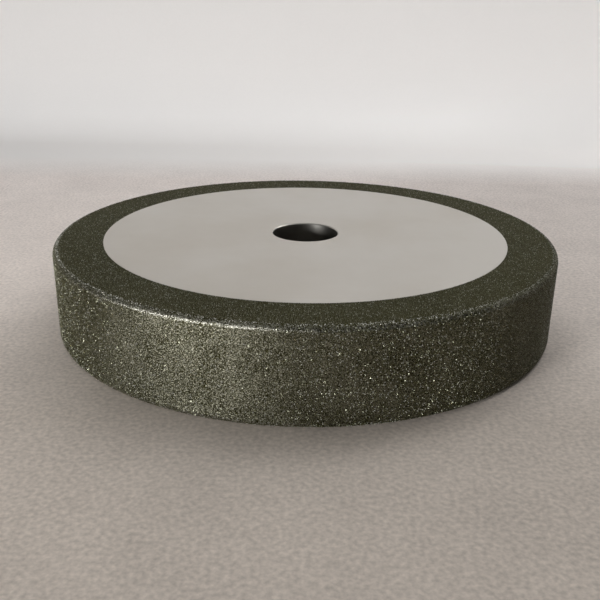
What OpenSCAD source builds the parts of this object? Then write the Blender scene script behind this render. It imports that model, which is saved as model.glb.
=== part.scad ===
// Diamond grinding wheel, flat form, with one layer of diamond grains held in nickel plating.
// The plating covers the rim, the rounded rim corners and a band on both faces. The rest of both
// faces is bare, and the wheel's flanges clamp there.
// Z runs along the bore. The origin is the wheel's centre, half way through its width.

/* [Wheel] */
// Outer diameter, over the grains
wheel_d = 150; // [100:1:250]
// Width of the steel core between its two bare seats
core_w = 26; // [10:0.5:50]
// Diameter of the bore
bore_d = 20; // [8:0.1:40]

/* [Core details] */
// Leg of the chamfer at each end of the bore
bore_chamfer = 0.3; // [0.1:0.05:1.5]
// Radius of the core's rounded rim corners
corner_r = 1.2; // [0.4:0.1:4]
// Depth by which each face is turned down for the plating, below the bare seat
plating_relief = 0.35; // [0.02:0.01:0.6]

/* [Plating] */
// Width of the plated band on each face, inwards from the outer diameter
band_w = 14.3; // [6:0.1:25]
// Depth of the nickel that holds the grains
nickel_t = 0.22; // [0.1:0.01:0.5]
// Height by which the grains stand out of the nickel
proud_h = 0.18; // [0.05:0.01:0.4]

/* [Hidden] */
$fn = 180;

coat_t = nickel_t + proud_h;
core_r = wheel_d / 2 - coat_t;
bore_r = bore_d / 2;
band_inner_r = wheel_d / 2 - band_w;
seat_z = core_w / 2;
land_z = seat_z - plating_relief;
// Where the flat bands and the straight rim end and the rounded corners begin
band_end_r = core_r - corner_r;
rim_end_z = land_z - corner_r;
// A cut runs this far past what it cuts
past = 1;

steel = "silver";
nickel = "dimgray";
diamond = "darkolivegreen";

// The half section of the plated part of the core, grown all round by a layer of this depth
module land_section(layer = 0) {
    translate([0, -land_z - layer]) square([band_end_r, 2 * (land_z + layer)]);
    translate([0, -rim_end_z]) square([core_r + layer, 2 * rim_end_z]);
    for (side = [-1, 1])
        translate([band_end_r, side * rim_end_z]) circle(r = corner_r + layer);
}

// The half section of the layer that lies between two depths over the core
module layer_section(from, to) {
    difference() {
        land_section(to);
        land_section(from);
        translate([0, -land_z - to - past]) square([band_inner_r, 2 * (land_z + to + past)]);
    }
}

// The half section of the bore, with its chamfer opening at both faces
module bore_section() {
    mouth_r = bore_r + bore_chamfer + past;
    mouth_z = seat_z + past;
    wall_z = seat_z - bore_chamfer;
    polygon([
        [0, -mouth_z], [mouth_r, -mouth_z], [bore_r, -wall_z],
        [bore_r, wall_z], [mouth_r, mouth_z], [0, mouth_z]
    ]);
}

// The half section of the layer that the grains stand in
module grit_section() {
    layer_section(nickel_t, coat_t);
}

// Turned steel body, with its bore and a bare seat on each face
module core() {
    color(steel)
    rotate_extrude()
    difference() {
        union() {
            land_section();
            translate([0, -seat_z]) square([band_inner_r, core_w]);
        }
        bore_section();
    }
}

// One unbroken nickel deposit over the rim, both corners and both bands
module nickel_bond() {
    color(nickel)
    rotate_extrude()
    layer_section(0, nickel_t);
}

// Grains on the rim and round both of its corners
module rim_grit() {
    reach_z = land_z + coat_t + past;
    color(diamond)
    rotate_extrude()
    intersection() {
        grit_section();
        translate([band_end_r, -reach_z]) square([corner_r + coat_t + past, 2 * reach_z]);
    }
}

// Grains on the flat band of one face: side is 1 for the top and -1 for the bottom
module face_grit(side) {
    color(diamond)
    rotate_extrude()
    intersection() {
        grit_section();
        translate([band_inner_r, side > 0 ? land_z : -land_z - coat_t - past])
            square([band_end_r - band_inner_r, coat_t + past]);
    }
}

module top_face_grit() { face_grit(1); }

module bottom_face_grit() { face_grit(-1); }

core();
nickel_bond();
rim_grit();
top_face_grit();
bottom_face_grit();
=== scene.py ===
"""Looks of a plated diamond grinding wheel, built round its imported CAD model.

The CAD core and nickel stay as they are and get their finishes here. The three thin CAD rings
that stand for the grains are replaced by the grains themselves: separate crystals, half sunk in
the nickel, which a Geometry Nodes tree scatters over the plated surface one sector at a time.
"""

from __future__ import annotations

import logging
import math
from collections.abc import Iterator
from dataclasses import dataclass, field
from enum import Enum

import bpy
from mathutils import Matrix, Vector


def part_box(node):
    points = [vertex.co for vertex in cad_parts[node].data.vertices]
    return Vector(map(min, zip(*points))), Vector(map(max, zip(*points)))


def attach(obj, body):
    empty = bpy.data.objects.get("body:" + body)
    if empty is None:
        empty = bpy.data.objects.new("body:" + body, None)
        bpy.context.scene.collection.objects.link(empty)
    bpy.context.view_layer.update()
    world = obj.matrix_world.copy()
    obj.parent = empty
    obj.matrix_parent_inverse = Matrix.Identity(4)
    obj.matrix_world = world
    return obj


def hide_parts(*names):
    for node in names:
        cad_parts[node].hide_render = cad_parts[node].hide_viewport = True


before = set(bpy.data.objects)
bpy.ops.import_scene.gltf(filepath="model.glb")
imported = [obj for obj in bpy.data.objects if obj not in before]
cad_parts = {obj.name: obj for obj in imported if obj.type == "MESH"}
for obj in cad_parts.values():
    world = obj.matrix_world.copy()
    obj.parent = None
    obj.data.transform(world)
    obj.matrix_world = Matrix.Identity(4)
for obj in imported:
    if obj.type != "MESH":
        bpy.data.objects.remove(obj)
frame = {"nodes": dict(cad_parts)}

LOG = logging.getLogger("grinding_wheel")
MM = 0.001
BODY = "root"
Colour = tuple[float, float, float]


class Face(Enum):
    """The two faces of the wheel, by the sign of Z that each looks along."""

    TOP = 1
    BOTTOM = -1


class Habit(Enum):
    """The solids that the crystals' shapes start from, which differ in their number of faces."""

    CUBE = "GeometryNodeMeshCube"
    OCTAHEDRON = "GeometryNodeMeshUVSphere"
    ROUNDED = "GeometryNodeMeshIcoSphere"


class Draw(Enum):
    """What is drawn at random for each grain, by the seed of its draw."""

    SIZE = 11
    TURN = 12
    STRETCH = 13
    SHAPE = 14
    TINT = 15


@dataclass(frozen=True)
class WheelSizes:
    """Sizes of the wheel in metres, read from the CAD nodes.

    Attributes:
        band_inner_r: Radius at which the plated band begins.
        band_end_r: Radius at which the flat band ends and the rounded corner begins.
        nickel_r: Radius of the nickel on the rim.
        nickel_z: Height of the nickel on the upper band.
        outer_r: Radius over the grains.
        outer_z: Height over the grains.
    """

    band_inner_r: float
    band_end_r: float
    nickel_r: float
    nickel_z: float
    outer_r: float
    outer_z: float

    @classmethod
    def from_frame(cls, nodes: dict[str, bpy.types.Object]) -> WheelSizes:
        """Measures the CAD nodes.

        Args:
            nodes: The CAD node objects by name.

        Returns:
            The sizes.
        """
        band = nodes["top_face_grit"].data.vertices
        return cls(
            band_inner_r=min(v.co.xy.length for v in band),
            band_end_r=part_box("top_face_grit")[1].x,
            nickel_r=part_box("nickel_bond")[1].x,
            nickel_z=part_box("nickel_bond")[1].z,
            outer_r=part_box("rim_grit")[1].x,
            outer_z=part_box("rim_grit")[1].z,
        )

    @property
    def corner_r(self) -> float:
        """Radius of the nickel's rounded rim corner."""
        return self.nickel_r - self.band_end_r

    @property
    def proud(self) -> float:
        """Height by which the grains stand out of the nickel."""
        return self.outer_z - self.nickel_z


class NodeWriter:
    """Adds nodes to a shader or geometry tree and links their sockets.

    Args:
        tree: The node tree to write into.
    """

    def __init__(self, tree: bpy.types.NodeTree) -> None:
        self.tree = tree

    def add(self, kind: str, inputs: dict | None = None, **settings: object) -> bpy.types.Node:
        """Adds one node.

        Args:
            kind: The node's type name.
            inputs: Values, or sockets to link from, by the input's name.
            **settings: Properties set on the node before its inputs.

        Returns:
            The new node.
        """
        node = self.tree.nodes.new(kind)
        for name, value in settings.items():
            setattr(node, name, value)
        for name, value in (inputs or {}).items():
            self.feed(node, name, value)
        return node

    def feed(self, node: bpy.types.Node, name: str, value: object) -> None:
        """Sets an input, or links it if the value is a socket.

        Args:
            node: The node whose input it is.
            name: The input's name. A number after a dot picks among inputs of one name.
            value: The value or the socket.
        """
        name, _, place = name.partition(".")
        usable = [s for s in node.inputs if s.name == name and s.enabled]
        socket = usable[int(place or 0)]
        if isinstance(value, bpy.types.NodeSocket):
            self.tree.links.new(value, socket)
        else:
            socket.default_value = value

    def math(self, operation: str, *values: object) -> bpy.types.NodeSocket:
        """Adds a Math node for an operation on one or two values and returns its result."""
        inputs = {f"Value.{place}": value for place, value in enumerate(values)}
        return self.add("ShaderNodeMath", inputs, operation=operation).outputs[0]

    def weighted(self, first: object, second: object, share: float) -> bpy.types.NodeSocket:
        """Adds two values, the first with this share and the second with the rest of 1."""
        return self.math(
            "ADD", self.math("MULTIPLY", first, share), self.math("MULTIPLY", second, 1.0 - share)
        )

    def scaled(self, vector: object, factor: object) -> bpy.types.NodeSocket:
        """Adds a Vector Math node that scales a vector and returns its result."""
        inputs = {"Vector": vector, "Scale": factor}
        return self.add("ShaderNodeVectorMath", inputs, operation="SCALE").outputs["Vector"]

    def scaled_axes(self, vector: object, factors: object) -> bpy.types.NodeSocket:
        """Adds a Vector Math node that scales each axis by its own factor and returns its result."""
        inputs = {"Vector.0": vector, "Vector.1": factors}
        return self.add("ShaderNodeVectorMath", inputs, operation="MULTIPLY").outputs["Vector"]

    def length(self, vector: object) -> bpy.types.NodeSocket:
        """Adds a Vector Math node that measures a vector and returns its length."""
        node = self.add("ShaderNodeVectorMath", {"Vector": vector}, operation="LENGTH")
        return node.outputs["Value"]

    def ramp(self, factor: object, stops: list[tuple[float, Colour]]) -> bpy.types.NodeSocket:
        """Adds a colour ramp.

        Args:
            factor: What the ramp reads.
            stops: Position and colour of each stop, in order.

        Returns:
            The ramp's colour output.
        """
        node = self.add("ShaderNodeValToRGB", {"Fac": factor})
        elements = node.color_ramp.elements
        while len(elements) < len(stops):
            elements.new(1.0)
        for element, (position, colour) in zip(elements, stops, strict=True):
            element.position = position
            element.color = (*colour, 1.0)
        return node.outputs["Color"]

    def blend(self, factor: object, low: object, high: object) -> bpy.types.NodeSocket:
        """Adds a Mix node that goes from one colour to another and returns its result."""
        inputs = {"Factor": factor, "A": low, "B": high}
        node = self.add("ShaderNodeMix", inputs, data_type="RGBA")
        return next(s for s in node.outputs if s.enabled)

    def share(self, value: object, low: float, high: float) -> bpy.types.NodeSocket:
        """Adds a Map Range node from low..high to 0..1, clamped, and returns its result."""
        node = self.add("ShaderNodeMapRange", {"Value": value, "From Min": low, "From Max": high})
        return node.outputs["Result"]

    def spread(self, value: object, low: float, high: float) -> bpy.types.NodeSocket:
        """Adds a Map Range node from 0..1 to low..high and returns its result."""
        node = self.add("ShaderNodeMapRange", {"Value": value, "To Min": low, "To Max": high})
        return node.outputs["Result"]

    def noise(self, place: object, scale: float, detail: float = 2.0) -> bpy.types.NodeSocket:
        """Adds a noise texture and returns its factor.

        Args:
            place: Where it is read.
            scale: Its frequency per metre.
            detail: Its number of octaves.

        Returns:
            The noise, from 0 to 1.
        """
        return self.add(
            "ShaderNodeTexNoise", {"Vector": place, "Scale": scale, "Detail": detail}
        ).outputs["Fac"]

    def bump(self, height: object, depth: float) -> bpy.types.NodeSocket:
        """Adds a Bump node for a relief of this depth, in metres, and returns its normal."""
        return self.add(
            "ShaderNodeBump", {"Height": height, "Distance": depth, "Strength": 1.0}
        ).outputs["Normal"]

    def stored(self, name: str, kind: str) -> bpy.types.NodeSocket:
        """Adds a Named Attribute node for a geometry tree and returns what it reads."""
        node = self.add("GeometryNodeInputNamedAttribute", {"Name": name}, data_type=kind)
        return node.outputs["Attribute"]


def new_material(name: str) -> tuple[bpy.types.Material, NodeWriter, bpy.types.Node]:
    """Makes an empty material with a Principled shader.

    Args:
        name: The material's name.

    Returns:
        The material, a writer for its tree, and its Principled node.
    """
    material = bpy.data.materials.new(name)
    material.use_nodes = True
    material.node_tree.nodes.clear()
    writer = NodeWriter(material.node_tree)
    shader = writer.add("ShaderNodeBsdfPrincipled")
    writer.add("ShaderNodeOutputMaterial", {"Surface": shader.outputs["BSDF"]})
    return material, writer, shader


@dataclass(frozen=True)
class TurnedSteel:
    """Finish of the bare core: satin steel, fine-turned round the bore.

    Attributes:
        dull: Colour where the face is a little stained.
        clean: Colour where it is clean.
        roughness: Least and most roughness.
        groove: Spacing of the turning marks, in metres.
        groove_depth: Depth of the turning marks, in metres.
        stain_scale: Frequency of the stains, per metre.
        stain_edges: Values of the stain noise where the face is fully dull and fully clean.
        wear_scale: Frequency of the wear that changes the roughness, per metre.
        wear_share: The wear's share in the roughness. The turning marks have the rest.
        bore_painted_shade: Brightness of the bore's wall against the faces, darkened as painted
            shade in the recess.
        bore_slack: How far outside the bore's radius its wall's painted shade still reaches, in
            metres.
    """

    dull: Colour = (0.53, 0.508, 0.462)
    clean: Colour = (0.575, 0.562, 0.527)
    roughness: tuple[float, float] = (0.30, 0.38)
    groove: float = 0.25 * MM
    groove_depth: float = 0.0006 * MM
    stain_scale: float = 28.0
    stain_edges: tuple[float, float] = (0.35, 0.65)
    wear_scale: float = 160.0
    wear_share: float = 0.7
    bore_painted_shade: float = 0.65
    bore_slack: float = 0.05 * MM

    def material(self, bore_r: float) -> bpy.types.Material:
        """Builds the material.

        Args:
            bore_r: Radius of the bore, in metres.

        Returns:
            The material.
        """
        material, w, shader = new_material("turned_steel")
        place = w.add("ShaderNodeTexCoord").outputs["Object"]
        radius = w.length(w.scaled_axes(place, (1, 1, 0)))
        stain = w.noise(place, self.stain_scale, detail=4.0)
        wear = w.noise(place, self.wear_scale, detail=3.0)
        # The grooves are noise along the radius alone, so they run round the bore as fine rings.
        ring = w.add("ShaderNodeCombineXYZ", {"X": w.math("MULTIPLY", radius, 1.0 / self.groove)})
        rings = w.noise(ring.outputs[0], 1.0, detail=3.0)
        # The bore's wall is darkened: painted shade in the recess.
        in_bore = w.math("LESS_THAN", radius, bore_r + self.bore_slack)
        shade = w.spread(in_bore, 1.0, self.bore_painted_shade)
        tone = w.ramp(stain, list(zip(self.stain_edges, (self.dull, self.clean), strict=True)))
        w.feed(shader, "Base Color", w.scaled(tone, shade))
        w.feed(shader, "Metallic", 1.0)
        mixed = w.weighted(wear, rings, self.wear_share)
        w.feed(shader, "Roughness", w.spread(mixed, *self.roughness))
        w.feed(shader, "Normal", w.bump(rings, self.groove_depth))
        return material


@dataclass(frozen=True)
class PlatedNickel:
    """Finish of the nickel between the grains: dark, nodular and slightly olive, with painted shade
    on the flat bands and a painted highlight round the corners.

    Attributes:
        deep: Colour in the hollows, on the rim, partly the nickel's own darker tone and partly
            painted shade.
        raised: Colour on the nodules, on the rim.
        painted_highlight: Colour on the nodules round the corners, paler than the rim's as a painted
            highlight.
        band_deep: Colour in the hollows, on the flat bands, darker than the rim's as painted shade.
        band_raised: Colour on the nodules, on the flat bands, darker than the rim's as painted
            shade.
        roughness: Least and most roughness, on the rim.
        band_roughness: Roughness on the flat bands.
        edge: Colour of what it mirrors at a glancing angle.
        nodule: Size of a nodule, in metres.
        nodule_height: Height of a nodule, in metres.
        nodule_share: The nodules' share in the colour. Wider patches have the rest.
        patch_scale: Frequency of those patches, per metre.
        tone_edges: Values of the mixed noise where the colour is fully deep and fully raised.
        rim_edges: Where the look of the bands ends and that of the rim is reached, in shares
            of the corner's radius outwards from the band.
        highlight_edge: Where the corner's painted highlight is reached, in shares of its radius up
            from the rim.
    """

    deep: Colour = (0.017, 0.0155, 0.003)
    raised: Colour = (0.262, 0.255, 0.198)
    painted_highlight: Colour = (0.5, 0.488, 0.43)
    band_deep: Colour = (0.02, 0.019, 0.006)
    band_raised: Colour = (0.06, 0.058, 0.026)
    roughness: tuple[float, float] = (0.3, 0.45)
    band_roughness: float = 0.6
    edge: Colour = (0.75, 0.73, 0.58)
    nodule: float = 0.28 * MM
    nodule_height: float = 0.13 * MM
    nodule_share: float = 0.78
    patch_scale: float = 55.0
    tone_edges: tuple[float, float] = (0.42, 0.6)
    rim_edges: tuple[float, float] = (0.35, 0.95)
    highlight_edge: float = 0.2

    def material(self, sizes: WheelSizes) -> bpy.types.Material:
        """Builds the material.

        Args:
            sizes: The wheel's sizes, which say where the bands are.

        Returns:
            The material.
        """
        material, w, shader = new_material("plated_nickel")
        place = w.add("ShaderNodeTexCoord").outputs["Object"]
        nodules = w.noise(place, 1.0 / self.nodule)
        patches = w.noise(place, self.patch_scale, detail=3.0)
        # The mixed noise darkens the hollows between the nodules: partly the nickel's own uneven
        # tone, partly painted shade.
        mixed = w.weighted(nodules, patches, self.nodule_share)
        radius = w.length(w.scaled_axes(place, (1, 1, 0)))
        corner_r, corner_z = sizes.corner_r, sizes.nickel_z - sizes.corner_r
        on_rim = w.share(radius, *(sizes.band_end_r + edge * corner_r for edge in self.rim_edges))
        height = w.math("ABSOLUTE", w.add("ShaderNodeSeparateXYZ", {"Vector": place}).outputs["Z"])
        # The nickel round the corners takes a paler colour: a painted highlight.
        on_corner = w.share(height, corner_z, corner_z + self.highlight_edge * corner_r)
        band_tone, rim_tone, corner_tone = (
            w.ramp(mixed, list(zip(self.tone_edges, tones, strict=True)))
            for tones in (
                (self.band_deep, self.band_raised),
                (self.deep, self.raised),
                (self.deep, self.painted_highlight),
            )
        )
        outer_tone = w.blend(on_corner, rim_tone, corner_tone)
        # The flat bands take the darker colours: painted shade.
        w.feed(shader, "Base Color", w.blend(on_rim, band_tone, outer_tone))
        w.feed(shader, "Metallic", 1.0)
        rim_roughness = w.spread(patches, *self.roughness)
        band_share = w.math("SUBTRACT", 1.0, on_rim)
        duller = w.math("SUBTRACT", self.band_roughness, rim_roughness)
        added = w.math("MULTIPLY", band_share, duller)
        w.feed(shader, "Roughness", w.math("ADD", rim_roughness, added))
        w.feed(shader, "Specular Tint", (*self.edge, 1.0))
        w.feed(shader, "Normal", w.bump(nodules, self.nodule_height))
        return material


@dataclass(frozen=True)
class DiamondGrain:
    """Finish of the grains: yellow-green diamond, darkened by the nickel it stands in.

    Attributes:
        name: The material's name.
        tones: Position on each grain's own tint, from 0 to 1, and colour.
        roughness: Roughness of the dullest grains and of the clearest.
        ior: Index of refraction, which sets how much a facet mirrors.
        sheen: Colour of what a facet mirrors.
        pit: Size of the growth marks on a facet, in metres.
        pit_depth: Depth of those marks, in metres.
    """

    name: str = "diamond_grain"
    tones: tuple[tuple[float, Colour], ...] = (
        (0.0, (0.01, 0.0095, 0.002)),
        (0.6, (0.03, 0.0275, 0.006)),
        (0.84, (0.06, 0.057, 0.026)),
        (0.9, (0.21, 0.206, 0.17)),
        (1.0, (0.36, 0.357, 0.32)),
    )
    roughness: tuple[float, float] = (0.5, 0.2)
    ior: float = 1.8
    sheen: Colour = (0.985, 1.0, 0.73)
    pit: float = 0.05 * MM
    pit_depth: float = 0.004 * MM

    def material(self) -> bpy.types.Material:
        """Builds the material."""
        material, w, shader = new_material(self.name)
        tint = w.add("ShaderNodeAttribute", attribute_name=GrainTree.TINT).outputs["Fac"]
        w.feed(shader, "Base Color", w.ramp(tint, list(self.tones)))
        w.feed(shader, "Roughness", w.spread(tint, *self.roughness))
        w.feed(shader, "IOR", self.ior)
        w.feed(shader, "Specular Tint", (*self.sheen, 1.0))
        place = w.add("ShaderNodeTexCoord").outputs["Object"]
        marks = w.noise(place, 1.0 / self.pit, detail=1.0)
        w.feed(shader, "Normal", w.bump(marks, self.pit_depth))
        return material


@dataclass(frozen=True)
class Crystal:
    """One shape of grain, made by shifting the corners of a simple solid.

    Attributes:
        habit: The solid that it starts from.
        shift: How far a corner is shifted, as a share of the grain's radius.
        seed: Which shifts are drawn.
    """

    habit: Habit
    shift: float
    seed: int


@dataclass(frozen=True)
class GrainTree:
    """Geometry Nodes tree that plates a patch of surface with separate grains.

    The grains lie at least a spacing apart, turned at random, each sunk in the surface so far
    that its top stands proud by the height asked for. Where the patch says that nickel has built
    up, as it does round a corner, they lie deeper and thinner on the ground.

    Attributes:
        crystals: The shapes of grain to draw from.
        size_spread: Least and most size, as a share of the grain radius.
        stretch: Least and most stretch along each axis of a grain.
        crowding: Number of tries for each grain that finds room.
        sink: How much deeper grains lie where nickel has built up fully, per grain radius.
        thinning: Share of the grains that are missing there.
        spot: Radius of a grain's own spot on the UV map, as a share of its cell's side.
        TINT: Name of the attribute that holds each grain's tint, from 0 to 1.
        BUILD_UP: Name of the one that says how far nickel has built up.
        GRAIN: Name of the one that numbers the grains, which isn't kept.
        PLACE: Name of the one that holds a corner's place on its grain, which isn't kept.
        MAP: Name of the UV map.
        CUBE_SIDE: Side of a cube whose corners are about one unit from its middle.
    """

    crystals: tuple[Crystal, ...] = (
        Crystal(Habit.CUBE, 0.30, 1),
        Crystal(Habit.CUBE, 0.42, 2),
        Crystal(Habit.CUBE, 0.36, 3),
        Crystal(Habit.OCTAHEDRON, 0.25, 4),
        Crystal(Habit.OCTAHEDRON, 0.38, 5),
        Crystal(Habit.ROUNDED, 0.22, 6),
    )
    size_spread: tuple[float, float] = (0.78, 1.08)
    stretch: tuple[float, float] = (0.85, 1.15)
    crowding: float = 3.0
    sink: float = 0.25
    thinning: float = 0.2
    spot: float = 0.42

    TINT = "tint"
    BUILD_UP = "build_up"
    GRAIN = "grain"
    PLACE = "place_on_grain"
    MAP = "OFBake"
    CUBE_SIDE = 1.155

    def build(self) -> bpy.types.GeometryNodeTree:
        """Builds the tree.

        Returns:
            The node group, with the inputs Patch, Spacing, Radius, Proud, Seed and Finish.
        """
        tree = bpy.data.node_groups.new("plated_grains", "GeometryNodeTree")
        for name, kind in (
            ("Patch", "NodeSocketGeometry"),
            ("Spacing", "NodeSocketFloat"),
            ("Radius", "NodeSocketFloat"),
            ("Proud", "NodeSocketFloat"),
            ("Seed", "NodeSocketInt"),
            ("Finish", "NodeSocketMaterial"),
        ):
            tree.interface.new_socket(name, in_out="INPUT", socket_type=kind)
        tree.interface.new_socket("Grains", in_out="OUTPUT", socket_type="NodeSocketGeometry")
        w = NodeWriter(tree)
        asked = w.add("NodeGroupInput").outputs
        points, size = self._points(w, asked)
        grains = self._instances(w, points, size, asked)
        grains = self._mapped(w, grains)
        finished = w.add(
            "GeometryNodeSetMaterial", {"Geometry": grains, "Material": asked["Finish"]}
        )
        w.add("NodeGroupOutput", {"Grains": finished.outputs[0]})
        return tree

    def _random(
        self, w: NodeWriter, kind: str, low: object, high: object, seed: int
    ) -> bpy.types.NodeSocket:
        """Adds a Random Value node and returns its output in use."""
        node = w.add(
            "FunctionNodeRandomValue", {"Min": low, "Max": high, "Seed": seed}, data_type=kind
        )
        return next(s for s in node.outputs if s.enabled)

    def _points(
        self, w: NodeWriter, asked: bpy.types.NodeOutputs
    ) -> tuple[bpy.types.NodeSocket, bpy.types.NodeSocket]:
        """Scatters the grains' centres and sinks them in the surface.

        Args:
            w: Writer for the tree.
            asked: The tree's inputs.

        Returns:
            The points, and each grain's size as a share of the grain radius.
        """
        build_up = w.stored(self.BUILD_UP, "FLOAT")
        density = w.math("DIVIDE", self.crowding, w.math("POWER", asked["Spacing"], 2.0))
        kept = w.math("SUBTRACT", 1.0, w.math("MULTIPLY", build_up, self.thinning))
        scattered = w.add(
            "GeometryNodeDistributePointsOnFaces",
            {
                "Mesh": asked["Patch"],
                "Distance Min": asked["Spacing"],
                "Density Max": density,
                "Density Factor": kept,
                "Seed": asked["Seed"],
            },
            distribute_method="POISSON",
        )
        size = self._random(w, "FLOAT", *self.size_spread, Draw.SIZE.value)
        reach = w.math("MULTIPLY", asked["Radius"], size)
        sunk = w.math("MULTIPLY", w.math("MULTIPLY", build_up, self.sink), asked["Radius"])
        height = w.math("SUBTRACT", w.math("SUBTRACT", asked["Proud"], reach), sunk)
        offset = w.scaled(scattered.outputs["Normal"], height)
        placed = w.add(
            "GeometryNodeSetPosition", {"Geometry": scattered.outputs["Points"], "Offset": offset}
        )
        return placed.outputs[0], size

    def _crystal(self, w: NodeWriter, crystal: Crystal) -> bpy.types.NodeSocket:
        """Makes one shape of grain, one unit in radius, as an instance."""
        sizes = {
            Habit.CUBE: {"Size": (self.CUBE_SIDE,) * 3},
            Habit.OCTAHEDRON: {"Segments": 4, "Rings": 2, "Radius": 1.0},
            Habit.ROUNDED: {"Radius": 1.0, "Subdivisions": 1},
        }
        solid = w.add(crystal.habit.value, sizes[crystal.habit])
        least, most = (-crystal.shift,) * 3, (crystal.shift,) * 3
        shifts = self._random(w, "FLOAT_VECTOR", least, most, crystal.seed)
        shifted = w.add(
            "GeometryNodeSetPosition", {"Geometry": solid.outputs["Mesh"], "Offset": shifts}
        )
        # Every corner goes back to one unit from the centre, so the grain's reach is known.
        place = w.add("GeometryNodeInputPosition").outputs[0]
        unit = w.add("ShaderNodeVectorMath", {"Vector": place}, operation="NORMALIZE")
        rounded = w.add(
            "GeometryNodeSetPosition",
            {"Geometry": shifted.outputs[0], "Position": unit.outputs["Vector"]},
        )
        hull = w.add("GeometryNodeConvexHull", {"Geometry": rounded.outputs[0]})
        marked = w.add(
            "GeometryNodeStoreNamedAttribute",
            {"Geometry": hull.outputs[0], "Name": self.PLACE, "Value": place},
            data_type="FLOAT_VECTOR",
            domain="POINT",
        )
        return w.add("GeometryNodeGeometryToInstance", {"Geometry": marked.outputs[0]}).outputs[0]

    def _instances(
        self,
        w: NodeWriter,
        points: bpy.types.NodeSocket,
        size: bpy.types.NodeSocket,
        asked: bpy.types.NodeOutputs,
    ) -> bpy.types.NodeSocket:
        """Puts a crystal on each point and makes them real.

        Args:
            w: Writer for the tree.
            points: The grains' centres.
            size: Each grain's size as a share of the grain radius.
            asked: The tree's inputs.

        Returns:
            The grains as one mesh.
        """
        shapes = w.add("GeometryNodeJoinGeometry")
        for crystal in reversed(self.crystals):
            w.feed(shapes, "Geometry", self._crystal(w, crystal))
        angles = self._random(w, "FLOAT_VECTOR", (0.0,) * 3, (math.tau,) * 3, Draw.TURN.value)
        turn = w.add("FunctionNodeEulerToRotation", {"Euler": angles})
        low, high = self.stretch
        stretch = self._random(w, "FLOAT_VECTOR", (low,) * 3, (high,) * 3, Draw.STRETCH.value)
        scale = w.scaled(stretch, w.math("MULTIPLY", size, asked["Radius"]))
        shape = self._random(w, "INT", 0, len(self.crystals) - 1, Draw.SHAPE.value)
        grains = w.add(
            "GeometryNodeInstanceOnPoints",
            {
                "Points": points,
                "Instance": shapes.outputs[0],
                "Pick Instance": True,
                "Instance Index": shape,
                "Rotation": turn.outputs[0],
                "Scale": scale,
            },
        ).outputs[0]
        for name, kind, value in (
            (self.TINT, "FLOAT", self._random(w, "FLOAT", 0.0, 1.0, Draw.TINT.value)),
            (self.GRAIN, "INT", w.add("GeometryNodeInputIndex").outputs[0]),
        ):
            grains = w.add(
                "GeometryNodeStoreNamedAttribute",
                {"Geometry": grains, "Name": name, "Value": value},
                data_type=kind,
                domain="INSTANCE",
            ).outputs[0]
        return w.add("GeometryNodeRealizeInstances", {"Geometry": grains}).outputs[0]

    def _mapped(self, w: NodeWriter, grains: bpy.types.NodeSocket) -> bpy.types.NodeSocket:
        """Gives every grain a cell of its own on a UV map, so that its tint can be baked.

        Args:
            w: Writer for the tree.
            grains: The grains as one mesh.

        Returns:
            The mesh with its map and without its working attributes.
        """
        grain = w.stored(self.GRAIN, "INT")
        place = w.stored(self.PLACE, "FLOAT_VECTOR")
        last = w.add(
            "GeometryNodeAttributeStatistic",
            {"Geometry": grains, "Attribute": grain},
            data_type="FLOAT",
            domain="POINT",
        ).outputs["Max"]
        side = w.math("CEIL", w.math("SQRT", w.math("ADD", last, 1.0)))
        column = w.math("MODULO", grain, side)
        row = w.math("FLOOR", w.math("DIVIDE", w.math("ADD", grain, 0.5), side))
        offsets = w.add("ShaderNodeSeparateXYZ", {"Vector": place}).outputs[:2]
        spots = {}
        for axis, cell, offset in zip("XY", (column, row), offsets, strict=True):
            middle = w.math("ADD", cell, 0.5)
            spot = w.math("ADD", middle, w.math("MULTIPLY", offset, self.spot))
            spots[axis] = w.math("DIVIDE", spot, side)
        mapped = w.add(
            "GeometryNodeStoreNamedAttribute",
            {
                "Geometry": grains,
                "Name": self.MAP,
                "Value": w.add("ShaderNodeCombineXYZ", spots).outputs[0],
            },
            data_type="FLOAT2",
            domain="CORNER",
        ).outputs[0]
        for name in (self.GRAIN, self.PLACE):
            node = w.add("GeometryNodeRemoveAttribute", {"Geometry": mapped, "Name": name})
            mapped = node.outputs[0]
        return mapped


@dataclass(frozen=True)
class ProfilePoint:
    """A point on the half section of the plated surface.

    Attributes:
        r: Radius, in metres.
        z: Height, in metres.
        build_up: How far nickel has built up there, from 0 to 1.
    """

    r: float
    z: float
    build_up: float = 0.0


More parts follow.
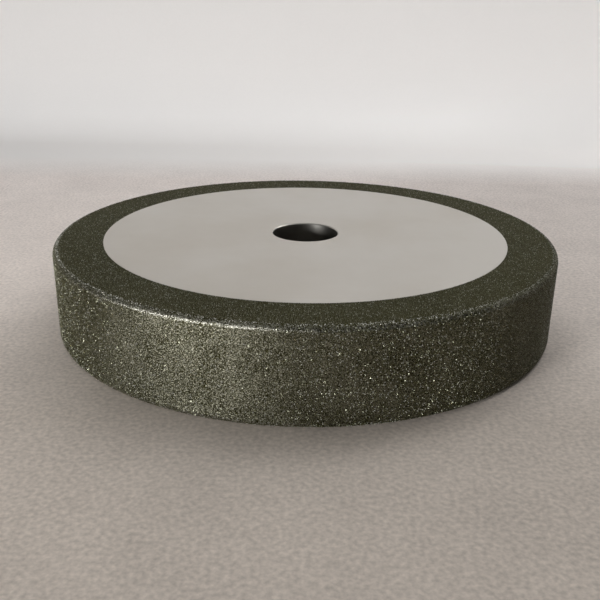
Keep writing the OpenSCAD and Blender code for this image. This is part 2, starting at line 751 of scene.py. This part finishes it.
@dataclass
class GritZone:
    """The grains of one plated zone, in sectors, in place of the CAD ring that stands for them.

    Attributes:
        name: The zone's name, which its pieces' names start with.
        node: The CAD node that the grains stand for.
        profile: The zone's half section over the nickel, anticlockwise seen from +Y.
        sectors: How many pieces the zone is made in.
        sizes: The wheel's sizes.
        spacing: Least distance between grains, in metres.
        grain_r: Radius of a grain, in metres.
        step: Length of a patch's facets round the wheel, in metres.
        pieces: The sectors that have been made.
    """

    name: str
    node: str
    profile: list[ProfilePoint]
    sectors: int
    sizes: WheelSizes
    spacing: float = 0.32 * MM
    grain_r: float = 0.188 * MM
    step: float = 1.0 * MM
    pieces: list[bpy.types.Object] = field(default_factory=list)

    def build(self, tree: bpy.types.GeometryNodeTree, finish: bpy.types.Material) -> None:
        """Makes and declares every sector.

        Args:
            tree: The Geometry Nodes tree that makes the grains.
            finish: The grains' material.
        """
        for number in range(self.sectors):
            piece = self._sector(number, tree, finish)
            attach(piece, BODY)
            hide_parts(self.node)
            self.pieces.append(piece)

    def _sector(
        self, number: int, tree: bpy.types.GeometryNodeTree, finish: bpy.types.Material
    ) -> bpy.types.Object:
        """Makes one sector's grains as a plain mesh.

        Args:
            number: Which sector, from 0.
            tree: The Geometry Nodes tree that makes the grains.
            finish: The grains' material.

        Returns:
            The piece.
        """
        piece = bpy.data.objects.new(f"{self.name}_{number + 1}", self._patch(number))
        bpy.context.scene.collection.objects.link(piece)
        modifier = piece.modifiers.new("grains", "NODES")
        modifier.node_group = tree
        wanted = {
            "Spacing": self.spacing,
            "Radius": self.grain_r,
            "Proud": self.sizes.proud,
            "Seed": number + 1,
            "Finish": finish,
        }
        for socket in tree.interface.items_tree:
            if socket.name in wanted:
                modifier[socket.identifier] = wanted[socket.name]
        graph = bpy.context.evaluated_depsgraph_get()
        made = bpy.data.meshes.new_from_object(piece.evaluated_get(graph), depsgraph=graph)
        piece.modifiers.clear()
        patch, piece.data = piece.data, made
        bpy.data.meshes.remove(patch)
        made.name = piece.name
        return piece

    def _patch(self, number: int) -> bpy.types.Mesh:
        """Makes the bare surface that one sector's grains are scattered on.

        Args:
            number: Which sector, from 0.

        Returns:
            The surface, faces outwards, with the nickel's build-up as an attribute.
        """
        sweep = math.tau / self.sectors
        steps = math.ceil(sweep * self.sizes.outer_r / self.step)
        turns = [sweep * (number + i / steps) for i in range(steps + 1)]
        corners = [
            (p.r * math.cos(a), p.r * math.sin(a), p.z) for a in turns for p in self.profile
        ]
        rows = len(self.profile)
        faces = [
            (i * rows + j, (i + 1) * rows + j, (i + 1) * rows + j + 1, i * rows + j + 1)
            for i in range(steps)
            for j in range(rows - 1)
        ]
        patch = bpy.data.meshes.new("patch")
        patch.from_pydata(corners, [], faces)
        built = patch.attributes.new(GrainTree.BUILD_UP, "FLOAT", "POINT")
        built.data.foreach_set("value", [p.build_up for _ in turns for p in self.profile])
        return patch


@dataclass
class Plating:
    """The plated layer: the nickel, and the grains of the rim and of both bands.

    Attributes:
        sizes: The wheel's sizes.
        nickel: The CAD node of the nickel.
        nickel_finish: Finish of the nickel.
        rim_finish: Finish of the grains on the rim and most of the way round its corners.
        band_finish: Finish of those on the bands, where a veil of nickel dulls them.
        highlight_finish: Finish of those along the upper edge of each corner, painted pale as a
            painted highlight.
        rim_sectors: Number of pieces that the rim's grains are made in.
        edge_sectors: Number of pieces that each pale edge's grains are made in.
        band_sectors: Number of pieces that each band's grains are made in.
        corner_steps: Number of facets round a corner's patch.
        edge_steps: How many of those facets are on the pale edge.
    """

    sizes: WheelSizes
    nickel: bpy.types.Object
    nickel_finish: PlatedNickel = PlatedNickel()
    rim_finish: DiamondGrain = DiamondGrain()
    band_finish: DiamondGrain = DiamondGrain(
        name="veiled_grain",
        tones=(
            (0.0, (0.066, 0.063, 0.038)),
            (0.5, (0.095, 0.091, 0.056)),
            (0.85, (0.14, 0.137, 0.094)),
            (1.0, (0.36, 0.356, 0.3)),
        ),
        roughness=(0.82, 0.68),
        ior=1.6,
        sheen=(1.0, 0.985, 0.72),
    )
    # The grains along each corner's upper edge are painted pale: a painted highlight.
    highlight_finish: DiamondGrain = DiamondGrain(
        name="painted_highlight_grain",
        tones=(
            (0.0, (0.06, 0.058, 0.045)),
            (0.4, (0.16, 0.157, 0.13)),
            (0.75, (0.35, 0.347, 0.31)),
            (1.0, (0.6, 0.597, 0.56)),
        ),
        roughness=(0.6, 0.45),
        ior=1.5,
    )
    rim_sectors: int = 6
    edge_sectors: int = 1
    band_sectors: int = 3
    corner_steps: int = 9
    edge_steps: int = 3

    def build(self) -> Iterator[bpy.types.Object]:
        """Dresses the nickel and makes the grains, yielding each piece."""
        dress(self.nickel, self.nickel_finish.material(self.sizes))
        yield self.nickel
        tree = GrainTree().build()
        for finish, zones in self._zones():
            material = finish.material()
            for zone in zones:
                zone.build(tree, material)
                yield from zone.pieces

    def _zones(self) -> list[tuple[DiamondGrain, list[GritZone]]]:
        """Sets out the plated zones by the finish of their grains."""
        s = self.sizes
        top, bottom = self._corner(Face.TOP), self._corner(Face.BOTTOM)
        turn = self.corner_steps - self.edge_steps
        round_rim = bottom[-turn - 1 :] + top[: turn + 1]
        edges, bands = self.edge_sectors, self.band_sectors
        rim = [GritZone("rim_grit", "rim_grit", round_rim, self.rim_sectors, s)]
        # These edge zones hold the pale grains of the painted highlight.
        painted_highlight = [
            GritZone("top_edge_grit", "rim_grit", top[turn:], edges, s),
            GritZone("bottom_edge_grit", "rim_grit", bottom[:-turn], edges, s),
        ]
        flat = [
            GritZone("top_face_grit", "top_face_grit", self._band(Face.TOP), bands, s),
            GritZone("bottom_face_grit", "bottom_face_grit", self._band(Face.BOTTOM), bands, s),
        ]
        return [(self.rim_finish, rim), (self.highlight_finish, painted_highlight), (self.band_finish, flat)]

    def _corner(self, face: Face) -> list[ProfilePoint]:
        """Outline of one rounded corner, from the lower end to the upper end.

        Args:
            face: The face that the corner is on.

        Returns:
            The outline's points. Nickel builds up most in the middle of the corner.
        """
        s = self.sizes
        points = []
        for i in range(self.corner_steps + 1):
            share = i / self.corner_steps
            turn = math.pi / 2 * (share if face is Face.TOP else share - 1)
            points.append(
                ProfilePoint(
                    s.band_end_r + s.corner_r * math.cos(turn),
                    face.value * (s.nickel_z - s.corner_r) + s.corner_r * math.sin(turn),
                    math.sin(math.pi * share),
                )
            )
        return points

    def _band(self, face: Face) -> list[ProfilePoint]:
        """Outline of one flat band, anticlockwise."""
        s = self.sizes
        ends = [s.band_end_r, s.band_inner_r]
        return [ProfilePoint(r, face.value * s.nickel_z) for r in ends[:: face.value]]


@dataclass
class Core:
    """The turned steel core, which is the CAD node with its finish.

    Attributes:
        node: The CAD node.
        finish: Finish of the bare steel.
    """

    node: bpy.types.Object
    finish: TurnedSteel = TurnedSteel()

    def build(self) -> Iterator[bpy.types.Object]:
        """Dresses the core and yields it."""
        bore_r = min(v.co.xy.length for v in self.node.data.vertices)
        dress(self.node, self.finish.material(bore_r))
        yield self.node


def dress(piece: bpy.types.Object, material: bpy.types.Material) -> None:
    """Puts a material on all of an object's slots without touching its mesh.

    Args:
        piece: The object.
        material: The material.
    """
    for slot in piece.material_slots:
        slot.link = "OBJECT"
        slot.material = material


@dataclass(frozen=True)
class FloorPaint:
    """Finish of the floor and the wall: pale and matt, warmer towards the front and darker there as
    painted shade, with painted light at the wall's foot and across its width.

    Attributes:
        tones: Colours from the front to the back, each with the place along Y where it is
            reached, in metres. The last one is the wall's, above its curved foot.
        wall_from: Where along Y the look of the floor begins and ends to give way to the wall's.
        light_lean: Change of brightness per metre to the right, on the floor and on the wall:
            painted light, brighter on the floor's left and on the wall's right.
        grain: Size of the specks, in metres.
        blotch_scale: Frequency of the wider blotches, per metre.
        speck_share: The specks' share in the mottling. The blotches have the rest.
        mottle: Strength of the mottling, on the floor and on the wall.
        roughness: Roughness.
    """

    # The darker stops at the front are painted shade, and the pale stops at 0.25 and 0.33 are
    # painted light that lifts the curved foot's shade.
    tones: tuple[tuple[float, Colour], ...] = (
        (-0.07, (0.61, 0.54, 0.475)),
        (0.0, (0.83, 0.75, 0.69)),
        (0.19, (0.80, 0.735, 0.70)),
        (0.25, (0.98, 0.962, 0.948)),
        (0.33, (0.98, 0.962, 0.948)),
        (0.345, (0.91, 0.89, 0.875)),
    )
    wall_from: tuple[float, float] = (0.19, 0.25)
    light_lean: tuple[float, float] = (-0.4, 0.6)
    grain: float = 1.1 * MM
    blotch_scale: float = 45.0
    speck_share: float = 0.75
    mottle: tuple[float, float] = (1.0, 0.05)
    roughness: float = 0.75

    def material(self) -> bpy.types.Material:
        """Builds the material."""
        material, w, shader = new_material("floor_paint")
        place = w.add("ShaderNodeTexCoord").outputs["Object"]
        x, y, _ = w.add("ShaderNodeSeparateXYZ", {"Vector": place}).outputs
        front, back = self.tones[0][0], self.tones[-1][0]
        stops = [((at - front) / (back - front), tone) for at, tone in self.tones]
        # The ramp along Y paints shade towards the front and light at the wall's curved foot.
        tone = w.ramp(w.share(y, front, back), stops)
        on_wall = w.share(y, *self.wall_from)
        # Painted light: the brightness leans along X, one way on the floor and the other way on the
        # wall.
        light_lean = w.math("MULTIPLY", x, w.spread(on_wall, *self.light_lean))
        specks = w.noise(place, 1.0 / self.grain)
        blotches = w.noise(place, self.blotch_scale, detail=5.0)
        spots = w.math("SUBTRACT", w.weighted(specks, blotches, self.speck_share), 0.5)
        mottle = w.math("MULTIPLY", spots, w.spread(on_wall, *self.mottle))
        shade = w.math("ADD", w.math("ADD", light_lean, mottle), 1.0)
        w.feed(shader, "Base Color", w.scaled(tone, shade))
        w.feed(shader, "Roughness", self.roughness)
        return material


@dataclass(frozen=True)
class SoftBox:
    """A rectangular lamp that faces the wheel.

    Attributes:
        name: The lamp's name.
        azimuth: Its direction from the wheel, in degrees right of the front.
        elevation: Its direction above the floor, in degrees.
        distance: Its distance from the wheel's middle, in metres.
        size: Its width and height, in metres.
        power: Its power, in watts.
    """

    name: str
    azimuth: float
    elevation: float
    distance: float
    size: tuple[float, float]
    power: float

    def build(self) -> None:
        """Makes the lamp."""
        turn, lift = math.radians(self.azimuth), math.radians(self.elevation)
        away = Vector(
            (math.sin(turn) * math.cos(lift), -math.cos(turn) * math.cos(lift), math.sin(lift))
        )
        light = bpy.data.lights.new(self.name, "AREA")
        light.shape = "RECTANGLE"
        light.size, light.size_y = self.size
        light.energy = self.power
        lamp = bpy.data.objects.new(self.name, light)
        lamp.location = away * self.distance
        lamp.rotation_euler = away.to_track_quat("Z", "Y").to_euler()
        bpy.context.scene.collection.objects.link(lamp)


@dataclass(frozen=True)
class Studio:
    """Floor, wall, light and camera.

    Attributes:
        sizes: The wheel's sizes.
        boxes: The lamps.
        reach: Half the floor's width, and how far it runs to the front, in metres.
        wall_y: Where the wall stands, in metres along Y.
        wall_h: Height of the wall, in metres.
        bend: Radius of the curve between the floor and the wall, in metres.
        bend_steps: Number of facets in that curve.
        paint: Finish of the floor and the wall.
        sky_tone: Colour of the soft light from all round.
        distance: Distance of the camera in front of the bore's axis, in metres.
        height: Height of the camera above the upper face, in metres.
        turn: Camera's turn to the right, tilt upwards and roll, in degrees.
        lens: Focal length of the camera, in millimetres.
        film: Width of the camera's picture plane, in millimetres.
        nearest: How near to the camera things are still shown, in metres.
    """

    sizes: WheelSizes
    boxes: tuple[SoftBox, ...] = (
        SoftBox("low_left", -42, 4, 0.8, (0.2, 0.2), 6.8),
        SoftBox("top", 180, 70, 1.0, (0.8, 0.8), 2.7),
        SoftBox("back_right", 140, 45, 0.7, (0.5, 0.5), 2.4),
    )
    reach: float = 3.0
    wall_y: float = 0.345
    wall_h: float = 0.7
    bend: float = 0.05
    bend_steps: int = 8
    paint: FloorPaint = FloorPaint()
    sky_tone: Colour = (0.11, 0.11, 0.11)
    distance: float = 0.234
    height: float = 0.0672
    turn: tuple[float, float, float] = (-0.33, -20.99, 0.83)
    lens: float = 47.14
    film: float = 36.0
    nearest: float = 0.01

    def build(self) -> None:
        """Makes the floor with its wall, the lights and the camera."""
        bpy.context.scene.view_settings.view_transform = "Standard"
        self._sweep()
        self._sky()
        for box in self.boxes:
            box.build()
        self._camera()

    def _sweep(self) -> None:
        """Makes the floor that the wheel lies on, which curves up into a wall at the back."""
        bend_y = self.wall_y - self.bend
        profile = [(-self.reach, 0.0)]
        for i in range(self.bend_steps + 1):
            turn = math.pi / 2 * i / self.bend_steps
            profile.append(
                (bend_y + self.bend * math.sin(turn), self.bend * (1 - math.cos(turn)))
            )
        profile.append((self.wall_y, self.wall_h))
        corners = [
            (x, y, z - self.sizes.outer_z) for y, z in profile for x in (-self.reach, self.reach)
        ]
        faces = [(2 * i, 2 * i + 1, 2 * i + 3, 2 * i + 2) for i in range(len(profile) - 1)]
        mesh = bpy.data.meshes.new("sweep")
        mesh.from_pydata(corners, [], faces)
        for face in mesh.polygons:
            face.use_smooth = True
        sweep = bpy.data.objects.new("sweep", mesh)
        bpy.context.scene.collection.objects.link(sweep)
        mesh.materials.append(self.paint.material())

    def _sky(self) -> None:
        """Makes the soft light that comes from all round."""
        world = bpy.data.worlds.new("studio")
        bpy.context.scene.world = world
        world.use_nodes = True
        world.node_tree.nodes["Background"].inputs["Color"].default_value = (*self.sky_tone, 1.0)

    def _camera(self) -> None:
        """Makes the camera, in front of the wheel and a little above it."""
        yaw, tilt, roll = (math.radians(a) for a in self.turn)
        ahead = Vector(
            (math.sin(yaw) * math.cos(tilt), math.cos(yaw) * math.cos(tilt), math.sin(tilt))
        )
        right = Vector((math.cos(yaw), -math.sin(yaw), 0.0))
        right = Matrix.Rotation(-roll, 3, ahead) @ right
        up = right.cross(ahead)
        data = bpy.data.cameras.new("camera")
        data.lens = self.lens
        data.sensor_width = self.film
        data.clip_start = self.nearest
        camera = bpy.data.objects.new("camera", data)
        axes = Matrix((right, up, -ahead)).transposed().to_4x4()
        place = Vector((0.0, -self.distance, self.sizes.outer_z + self.height))
        camera.matrix_world = Matrix.Translation(place) @ axes
        bpy.context.scene.collection.objects.link(camera)
        bpy.context.scene.camera = camera


def main() -> None:
    """Builds the wheel and the studio."""
    logging.basicConfig(level=logging.INFO, format="%(name)s: %(message)s")
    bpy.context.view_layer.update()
    nodes = frame["nodes"]
    sizes = WheelSizes.from_frame(nodes)
    for part in (Core(nodes["core"]), Plating(sizes, nodes["nickel_bond"])):
        for piece in part.build():
            piece.data.calc_loop_triangles()
            LOG.info("%s: %d triangles", piece.name, len(piece.data.loop_triangles))
    Studio(sizes).build()


if __name__ == "__main__":
    main()
